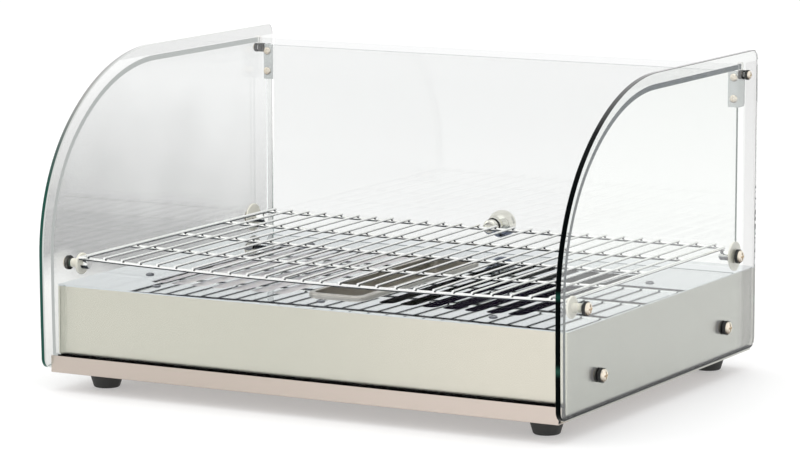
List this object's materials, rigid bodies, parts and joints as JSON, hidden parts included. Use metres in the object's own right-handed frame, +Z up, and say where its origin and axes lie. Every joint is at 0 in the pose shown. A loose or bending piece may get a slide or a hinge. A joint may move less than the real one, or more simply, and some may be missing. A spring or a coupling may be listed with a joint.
{
  "type": "heated display case",
  "caption": "Countertop heated display case with curved front glass, a slotted warming deck with a lift-out water pan, a wire shelf and a hinged rear door.",
  "frame": {"origin": "centre of the bounding box's base, on the ground under the feet", "axes": "+X to the right seen from the front, +Y from the curved front glass to the rear door, +Z up"},
  "size_m": [0.554, 0.451, 0.311],
  "materials": {
    "brushed_stainless": "fine brushed",
    "polished_stainless": "mirror polished",
    "plain_steel": "plain sheet",
    "aluminium_foil": "crinkled foil",
    "black_enamel": "matt enamel",
    "element_tube": "heat darkened",
    "ceramic": "glazed",
    "side_glass": "polished, ground edges",
    "front_glass": "polished",
    "door_glass": "polished",
    "black_rubber": "matt",
    "grey_rubber": "matt",
    "nylon": "satin",
    "chrome": "bright plated",
    "black_plastic": "satin",
    "dark_plastic": "matt",
    "red_plastic": "clear red",
    "brass": "plain",
    "wire_sleeve": "braided",
    "earth_sleeve": "smooth"
  },
  "bodies": {
    "case": {"bottom_pan": "brushed_stainless", "case_wrap": "brushed_stainless", "rear_panel": "brushed_stainless", "deck_plate": "polished_stainless", "heater_tray": "plain_steel", "tray_liner_left": "aluminium_foil", "tray_liner_right": "black_enamel", "foil_cover": "aluminium_foil", "radiant_cover": "black_enamel", "heating_element_left": "element_tube", "heating_element_right": "element_tube", "element_bushings": "ceramic", "element_brackets": "plain_steel", "deck_screws": "polished_stainless", "deck_nuts": "plain_steel", "panel_screws": "polished_stainless", "feet": "black_rubber", "foot_screws": "plain_steel", "foot_nuts": "plain_steel", "side_glass_left": "side_glass", "side_glass_right": "side_glass", "front_glass": "front_glass", "glass_bed_strip": "black_rubber", "glass_screws": "chrome", "glass_rubbers": "black_rubber", "glass_spacers": "grey_rubber", "glass_nuts": "plain_steel", "support_screws": "chrome", "support_rubbers": "black_rubber", "support_discs": "nylon", "support_posts": "chrome", "pivot_screws": "chrome", "pivot_washers": "black_rubber", "pivot_bushes": "dark_plastic", "glass_studs": "chrome", "thermostat": "dark_plastic", "pilot_lamp": "red_plastic", "switch_housing": "black_plastic", "cord_gland": "dark_plastic", "gland_nut": "dark_plastic", "terminal_block": "ceramic", "terminal_screws": "brass", "earth_stud": "brass", "wiring": "wire_sleeve", "earth_wire": "earth_sleeve"},
    "door": {"door_glass": "door_glass", "hinge_bracket_left": "brushed_stainless", "hinge_bracket_right": "brushed_stainless", "bracket_screws": "polished_stainless", "bracket_nuts": "plain_steel", "door_knob": "chrome", "door_knob_button": "chrome"},
    "shelf": {"shelf_frame": "chrome", "shelf_wires": "chrome"},
    "pan": {"water_pan": "polished_stainless"},
    "dial": {"dial_shaft": "plain_steel", "dial_knob": "black_plastic"},
    "switch_rocker": {"rocker": "red_plastic"}
  },
  "joints": [
    {"name": "door_hinge", "type": "hinge", "parent": "case", "child": "door", "pos_m": [0, 0.174, 0.289], "axis": [1, 0, 0], "range_deg": [0, 100]},
    {"name": "shelf_lift", "type": "slide", "parent": "case", "child": "shelf", "axis": [0, 0, 1], "range_m": [0, 0.06]},
    {"name": "pan_lift", "type": "slide", "parent": "case", "child": "pan", "axis": [0, 0, 1], "range_m": [0, 0.012]},
    {"name": "dial_turn", "type": "hinge", "parent": "case", "child": "dial", "pos_m": [-0.15, 0.2055, 0.06], "axis": [0, -1, 0], "range_deg": [0, 270]},
    {"name": "rocker_tilt", "type": "hinge", "parent": "case", "child": "switch_rocker", "pos_m": [-0.08, 0.205, 0.06], "axis": [-1, 0, 0], "range_deg": [0, 16]}
  ]
}
